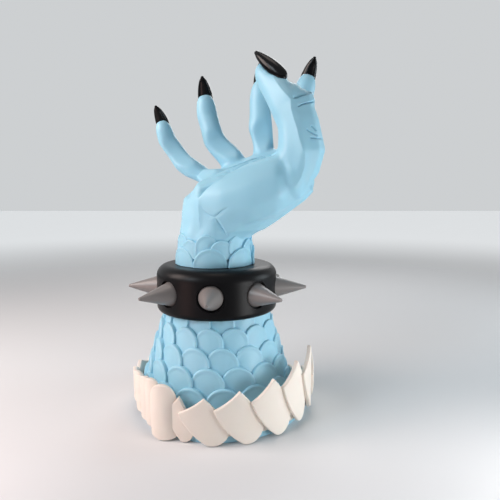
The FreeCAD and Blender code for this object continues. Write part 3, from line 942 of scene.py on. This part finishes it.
@dataclass
class Ruff:
    """The ring of bent white leaves, each lapped over the one to its left, on a band."""

    radius: float = 62.8
    centre_x: float = 2.3
    wall: float = 2.8
    edge: float = 0.7
    band_low: float = 5.0
    band_high: float = 8.0
    band_inner: float = 56.6
    band_gap: float = 0.8
    band_start: float = -38.0
    band_sweep: float = 256.0
    band_steps: int = 120
    arc_steps: int = 14
    # width of the strips that a leaf is cut into, and how far out they go in widths of the leaf
    strip: float = 1.6
    strip_reach: float = 0.9
    leaves: tuple[Leaf, ...] = (
        Leaf(-21.2, 27.6, 27.2, 12.5, -2.5),
        Leaf(-6.0, 28.8, 28.4, 22.5),
        Leaf(13.5, 32.6, 32.2, 23.0),
        Leaf(33.5, 36.8, 35.6, 23.0),
        Leaf(52.2, 43.2, 40.0, 22.0),
        Leaf(71.5, 47.0, 43.0, 24.0),
        Leaf(90.0, 36.0, 33.0, 22.0),
        Leaf(107.0, 20.0, 18.0, 21.0, -0.5),
        Leaf(124.0, 14.5, 13.0, 21.0, -0.5),
        Leaf(141.0, 14.0, 12.8, 21.0, -0.5),
        Leaf(158.0, 15.5, 14.0, 21.0, -0.5),
        Leaf(175.0, 17.5, 16.0, 21.0, -0.5),
        Leaf(192.0, 19.5, 17.6, 21.0, -0.5),
        Leaf(209.0, 21.5, 19.0, 21.0, -1.0),
        Leaf(226.0, 23.5, 18.5, 21.0, -1.7),
        Leaf(243.5, 25.5, 17.5, 22.5, -2.5),
        Leaf(261.5, 27.5, 16.5, 22.0, -3.2),
        Leaf(280.0, 29.5, 17.5, 21.0, -3.8),
        Leaf(296.5, 32.0, 20.6, 17.0, -4.2, LeafKind.PETAL),
        Leaf(306.0, 32.4, 23.6, 12.5, -2.8, LeafKind.SLIM),
        Leaf(315.0, 34.3, 27.2, 12.0, -1.6, LeafKind.SLIM),
        Leaf(321.6, 35.2, 29.6, 12.5, -0.7, LeafKind.SLIM),
        Leaf(330.5, 34.4, 34.0, 20.4, 0.6, LeafKind.PETAL),
    )

    def build(self, finish: bpy.types.Material) -> bpy.types.Object:
        """Makes the ruff.

        Args:
            finish: the material.

        Returns:
            The ring of leaves with its band.
        """
        parts = [self.leaf(leaf) for leaf in self.leaves]
        parts.append(self.band())
        piece = join("ruff_dressed", parts)
        piece.data.materials.clear()
        piece.data.materials.append(finish)
        weighted = piece.modifiers.new("weighted", "WEIGHTED_NORMAL")
        weighted.weight = 80
        return settle(piece)

    def leaf(self, leaf: Leaf) -> bpy.types.Object:
        """Makes one leaf with rounded edges.

        Args:
            leaf: its place and form.

        Returns:
            The leaf where it stands.
        """
        corners, bulges, bend, yaw = leaf.kind.value
        size = np.array([leaf.wide, leaf.tall])
        stations = [np.array(corner) * size for corner in corners]
        vias = [np.array(bulge) * size for bulge in bulges]
        outline = np.concatenate([
            arc(start, via, end, self.arc_steps)
            for start, via, end in zip(stations, vias, stations[1:] + stations[:1])])
        before = unit(outline - np.roll(outline, 1, axis=0))
        after = unit(np.roll(outline, -1, axis=0) - outline)
        along = unit(before + after)
        inward = np.column_stack([-along[:, 1], along[:, 0]])
        rings = []
        for turn in (0.0, 30.0, 60.0, 90.0):
            angle = math.radians(turn)
            rings.append((self.edge * (1 - math.sin(angle)), self.edge * (1 - math.cos(angle))))
        rings += [(inset, self.wall - depth) for inset, depth in rings[::-1]]
        points = []
        for inset, depth in rings:
            flat = outline + inward * inset
            points.append(np.column_stack([flat[:, 0], np.full(len(flat), depth), flat[:, 1]]))
        piece = mesh_piece("leaf", np.concatenate(points), tube_faces(len(rings), len(outline)))
        self.slice(piece, leaf.wide)
        spots = spots_of(piece)
        turn = spots[:, 0] / bend
        deep = bend - spots[:, 1]
        local = np.column_stack([np.sin(turn) * deep, bend - np.cos(turn) * deep, spots[:, 2] + leaf.top])
        local = local @ np.array(Matrix.Rotation(math.radians(yaw), 3, "Z")).T
        local[:, 1] -= self.radius + leaf.out
        local = local @ np.array(Matrix.Rotation(math.radians(leaf.azimuth), 3, "Z")).T
        local[:, 0] += self.centre_x
        set_spots(piece, local)
        return piece

    def slice(self, piece: bpy.types.Object, wide: float) -> None:
        """Cuts a flat leaf into upright strips, so that it can be bent.

        Args:
            piece: the flat leaf.
            wide: its nominal width in millimetres.
        """
        work = bmesh.new()
        work.from_mesh(piece.data)
        bmesh.ops.triangulate(work, faces=[face for face in work.faces if len(face.verts) > 4])
        for across in np.arange(-self.strip_reach * wide, self.strip_reach * wide, self.strip):
            bmesh.ops.bisect_plane(
                work, geom=work.verts[:] + work.edges[:] + work.faces[:], plane_co=(across * MM, 0.0, 0.0),
                plane_no=(1.0, 0.0, 0.0))
        for face in work.faces:
            face.smooth = True
        work.to_mesh(piece.data)
        work.free()

    def band(self) -> bpy.types.Object:
        """Makes the band that carries the leaves and rests on the flange.

        Returns:
            The band.
        """
        outer = self.radius - self.wall - self.band_gap
        points = []
        count = self.band_steps
        for radius, shift, level in [
                (self.band_inner, 0.0, self.band_low), (outer, self.centre_x, self.band_low),
                (outer, self.centre_x, self.band_high), (self.band_inner, 0.0, self.band_high)]:
            for step in range(count):
                angle = math.radians(self.band_start + self.band_sweep * step / (count - 1))
                points.append((shift + radius * math.sin(angle), -radius * math.cos(angle), level))
        faces = []
        for row in range(4):
            other = (row + 1) % 4
            for step in range(count - 1):
                faces.append([row * count + step, row * count + step + 1, other * count + step + 1,
                              other * count + step])
        ends = [row * count for row in range(4)]
        faces.append(ends)
        faces.append([end + count - 1 for end in ends[::-1]])
        return mesh_piece("band", np.array(points), faces, smooth=False)


@dataclass(frozen=True)
class Claws:
    """The five claws, each a smooth horn with a rounded tip."""

    # root, heading, way to the back, length and width of each finger's claw
    fingers: tuple[tuple[str, Point, Point, Point, float, float], ...] = (
        ("claw_little", (-39.83, 25.43, 194.02), (-0.273, -0.139, 0.952), (0.0, 0.989, 0.145), 18.48, 9.24),
        ("claw_ring", (-9.62, 30.5, 212.46), (-0.104, -0.105, 0.989), (0.0, 0.994, 0.105), 21.34, 10.67),
        ("claw_middle", (30.49, 32.69, 223.59), (0.052, -0.07, 0.996), (0.0, 0.998, 0.07), 22.88, 11.44),
        ("claw_index", (64.03, 34.11, 226.84), (0.292, 0.0, 0.956), (0.0, 1.0, 0.0), 21.4, 11.0),
    )
    # shares of the length ahead and out, and of the width
    form: tuple[tuple[float, float, float], ...] = (
        (-0.42, 0.10, 0.30), (-0.30, 0.18, 0.72), (-0.05, 0.20, 1.0), (0.22, 0.10, 0.86), (0.45, -0.04, 0.55),
        (0.56, -0.12, 0.24))
    # middle, half width and half depth along the thumb's claw
    thumb: tuple[tuple[float, float, float, float, float], ...] = (
        (43.9, -18.0, 213.9, 1.7, 1.4), (42.0, -17.6, 215.8, 3.8, 3.0), (37.9, -15.4, 219.8, 4.5, 3.8),
        (33.0, -12.2, 224.7, 4.0, 3.7), (28.7, -9.2, 229.1, 2.8, 2.7), (26.4, -7.4, 231.7, 1.5, 1.5))
    sides: int = 32
    steps: int = 8
    fullness: float = 0.98
    # width of a claw over its half depth
    flatness: float = 2.6

    def build(self, finish: bpy.types.Material) -> list[bpy.types.Object]:
        """Makes the claws.

        Args:
            finish: the material.

        Returns:
            One object for each claw.
        """
        pieces = [self.horn("claw_thumb_dressed", np.array(self.thumb))]
        for node, root, heading, dorsal, long, wide in self.fingers:
            rows = []
            for ahead, out, share in self.form:
                spot = np.array(root) + np.array(heading) * long * ahead + np.array(dorsal) * long * out
                rows.append([*spot, wide / 2.0 * share, wide / self.flatness * share])
            pieces.append(self.horn(f"{node}_dressed", np.array(rows)))
        for piece in pieces:
            piece.data.materials.append(finish)
        return pieces

    def horn(self, name: str, stations: np.ndarray) -> bpy.types.Object:
        """Makes a closed smooth horn through stations.

        Args:
            name: the object's name.
            stations: rows of x, y, z, half width and half depth.

        Returns:
            The horn.
        """
        rows = self.between(stations)
        along = unit(np.gradient(rows[:, :3], axis=0))
        tip = rows[-1]
        caps = []
        for turn in (30.0, 60.0, 85.0):
            angle = math.radians(turn)
            middle = tip[:3] + along[-1] * tip[3] * math.sin(angle)
            caps.append([*middle, tip[3] * math.cos(angle), tip[4] * math.cos(angle)])
        rows = np.vstack([rows, caps])
        along = np.vstack([along] + [along[-1:]] * len(caps))
        turns = np.linspace(0.0, math.tau, self.sides, endpoint=False)
        points = []
        for row, ahead in zip(rows, along):
            across = np.cross([0.0, 1.0, 0.0], ahead)
            across /= np.linalg.norm(across)
            back = np.cross(ahead, across)
            points.append(row[:3] + self.fullness * (
                np.outer(np.cos(turns) * row[3], across) + np.outer(np.sin(turns) * row[4], back)))
        return mesh_piece(name, np.concatenate(points), tube_faces(len(rows), self.sides))

    def between(self, stations: np.ndarray) -> np.ndarray:
        """Fills in stations along a smooth curve through the given ones.

        Args:
            stations: rows of numbers.

        Returns:
            More rows, the first and last as given.
        """
        padded = np.vstack([2 * stations[0] - stations[1], stations, 2 * stations[-1] - stations[-2]])
        rows = []
        for first, second, third, fourth in zip(padded, padded[1:], padded[2:], padded[3:]):
            for share in np.linspace(0.0, 1.0, self.steps, endpoint=False):
                rows.append(second + 0.5 * share * (third - first + share * (
                    2 * first - 5 * second + 4 * third - fourth + share * (
                        3 * second - first - 3 * third + fourth))))
        rows.append(stations[-1])
        return np.array(rows)


@dataclass(frozen=True)
class Lamp:
    """A square soft lamp: its name, place and side in millimetres, its watts and its colour."""

    name: str
    place: Point
    side: float
    watts: float
    tint: str


@dataclass
class Studio:
    """Floor, surround, lamps and camera."""

    backdrop: float = 0.75
    ambient: float = 0.12
    tone: str = "E9ECEE"
    floor_half: float = 3000.0
    # distances in metres between which the floor's own glow comes in
    glow_start: float = 0.25
    glow_full: float = 1.3
    aim: Point = (5.0, 0.0, 110.0)
    lens: float = 36.0
    lamps: tuple[Lamp, ...] = (
        Lamp("upper_left", (-450.0, -80.0, 360.0), 260.0, 2.3, "FFECE4"),
        Lamp("front_left", (-480.0, -420.0, 420.0), 260.0, 1.75, "EAF6FF"),
        Lamp("low_left", (-200.0, -160.0, 60.0), 100.0, 0.08, "FFC0B4"),
        Lamp("low_right", (230.0, -150.0, 35.0), 100.0, 0.34, "FFFFFF"),
        Lamp("right", (600.0, 60.0, 200.0), 260.0, 1.4, "EAF8FF"),
        Lamp("top", (0.0, -60.0, 760.0), 260.0, 0.6, "FFF0E6"),
        Lamp("back", (120.0, 480.0, 420.0), 300.0, 1.0, "FFFFFF"),
    )

    def build(self) -> None:
        """Makes the floor, the lamps, the surround and the camera."""
        half = self.floor_half
        floor = mesh_piece("floor", np.array([
            (-half, -half, 0.0), (half, -half, 0.0), (half, half, 0.0), (-half, half, 0.0)]),
            [[0, 1, 2, 3]], smooth=False)
        floor.data.materials.append(self.floor_paint())
        for lamp in self.lamps:
            self.light(lamp)
        self.surround()
        bpy.context.scene.view_settings.view_transform = "Standard"
        self.camera()

    def floor_paint(self) -> bpy.types.Material:
        """Makes the floor's paint, which stays as pale far off as it is near the lamps.

        Returns:
            The floor's material.
        """
        # matt studio paint: even, with a soft shadow round the foot
        material, tree = paint("matt_floor_paint")
        spot = add_node(tree, "ShaderNodeTexCoord").outputs["Object"]
        far = add_node(tree, "ShaderNodeVectorMath", {0: spot}, operation="LENGTH")
        fade = add_node(tree, "ShaderNodeMapRange", {
            "Value": far.outputs["Value"], "From Min": self.glow_start, "From Max": self.glow_full,
            "To Max": self.backdrop}, interpolation_type="SMOOTHSTEP")
        ray = add_node(tree, "ShaderNodeLightPath")
        glow = add_node(tree, "ShaderNodeMath", {
            0: fade.outputs["Result"], 1: ray.outputs["Is Camera Ray"]}, operation="MULTIPLY")
        surface = add_node(tree, "ShaderNodeBsdfPrincipled", {
            "Base Color": linear("DCDEE0"), "Roughness": 0.8, "Specular IOR Level": 0.2,
            "Emission Color": linear(self.tone), "Emission Strength": glow.outputs[0]})
        add_node(tree, "ShaderNodeOutputMaterial", {"Surface": surface.outputs["BSDF"]})
        return material

    def surround(self) -> None:
        """Makes the world: pale where it is seen or mirrored, and a faint even light elsewhere."""
        world = bpy.data.worlds.new("studio")
        bpy.context.scene.world = world
        world.use_nodes = True
        tree = world.node_tree
        background = tree.nodes["Background"]
        background.inputs["Color"].default_value = linear(self.tone)
        ray = add_node(tree, "ShaderNodeLightPath").outputs
        mirrored = add_node(tree, "ShaderNodeMath", {
            0: ray["Is Camera Ray"], 1: ray["Is Glossy Ray"]}, operation="MAXIMUM")
        shown = add_node(tree, "ShaderNodeMath", {
            0: mirrored.outputs[0], 1: ray["Is Transmission Ray"]}, operation="MAXIMUM")
        strength = add_node(tree, "ShaderNodeMapRange", {
            "Value": shown.outputs[0], "To Min": self.ambient, "To Max": self.backdrop})
        tree.links.new(strength.outputs["Result"], background.inputs["Strength"])

    def light(self, lamp: Lamp) -> None:
        """Adds a lamp that points at the middle of the stand.

        Args:
            lamp: the lamp.
        """
        glow = bpy.data.lights.new(lamp.name, "AREA")
        glow.size = lamp.side * MM
        glow.energy = lamp.watts
        glow.color = linear(lamp.tint)[:3]
        holder = linked(lamp.name, glow)
        holder.location = Vector(lamp.place) * MM
        ahead = Vector(self.aim) * MM - holder.location
        holder.rotation_euler = ahead.to_track_quat("-Z", "Y").to_euler()

    def camera(self) -> None:
        """Adds the camera at the photograph's place and angle."""
        optics = bpy.data.cameras.new("camera")
        optics.lens = self.lens
        optics.sensor_width = 36.0
        optics.clip_start = 0.01
        optics.clip_end = 20.0
        holder = linked("camera", optics)
        holder.location = Vector(CAMERA) * MM
        holder.rotation_euler = (math.radians(90.0 - CAMERA_PITCH), 0.0, 0.0)
        bpy.context.scene.camera = holder


FINISHES = {
    # resin with a matte coat of paint: pale icy blue with a wide soft sheen
    Slot.BLUE: Plastic("pale_blue_resin", "9DD0E4", "93C8DD", 0.46, 0.9, 0.05, subsurface=0.06),
    # moulded plastic, half gloss: black with a soft streak of light round each shoulder
    Slot.CUFF: Plastic("black_cuff_plastic", "0B0A0C", "08080A", 0.34, 1.4, 0.04, specular=0.12),
    # moulded plastic with a satin face: warm grey with one soft light down each cone
    Slot.SPIKE: Plastic("grey_spike_plastic", "827D7B", "787371", 0.36, 0.8, 0.03),
    # printed plastic, matte: an even warm white with no bright spots
    Slot.RUFF: Plastic("white_ruff_plastic", "EBE2D8", "E4DACF", 0.55, 1.0, 0.05, subsurface=0.05),
    # lacquered plastic, glossy: black with small crisp lights
    Slot.CLAW: Plastic("black_claw_plastic", "08080A", "060608", 0.2, 1.2, 0.02, specular=0.18),
}


def dress(node: str, finish: bpy.types.Material) -> None:
    """Gives a CAD node that is shown as it is a material, and reports it.

    Args:
        node: the CAD node.
        finish: the material.
    """
    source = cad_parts[node]
    source.data.materials.clear()
    source.data.materials.append(finish)
    log.info("%s keeps its solid form", node)


def main() -> None:
    """Builds every piece in order and reports it."""
    logging.basicConfig(level=logging.INFO, format="%(name)s: %(message)s")
    finishes = {slot: plastic.build() for slot, plastic in FINISHES.items()}
    ring = RingOfCopies()

    forearm = Forearm().build(ring, finishes[Slot.BLUE])
    place(forearm, Slot.BLUE, ["forearm"])

    hand = Hand().build(ring, finishes[Slot.BLUE])
    place(hand, Slot.BLUE, ["hand"])

    ruff = Ruff().build(finishes[Slot.RUFF])
    place(ruff, Slot.RUFF, ["ruff"])

    for piece in Claws().build(finishes[Slot.CLAW]):
        place(piece, Slot.CLAW, [piece.name.replace("_dressed", "")])

    dress("cuff", finishes[Slot.CUFF])
    for number in range(1, 9):
        dress(f"spike_{number}", finishes[Slot.SPIKE])

    Studio().build()


def place(piece: bpy.types.Object, slot: Slot, nodes: list[str]) -> None:
    """Ties a finished piece to the frame and reports it.

    Args:
        piece: the finished object.
        slot: the material slot that it takes its finish from; not used here.
        nodes: the CAD nodes that it stands for.
    """
    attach(piece, "root")
    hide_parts(*nodes)
    log.info("%s stands for %s with %d faces", piece.name, ", ".join(nodes), len(piece.data.polygons))


def plain(box: tuple) -> list[list[float]]:
    """Turns a box into plain lists.

    Args:
        box: its two corners.

    Returns:
        The corners as lists of numbers.
    """
    return [[float(number) for number in corner] for corner in box]


if __name__ == "__main__":
    main()
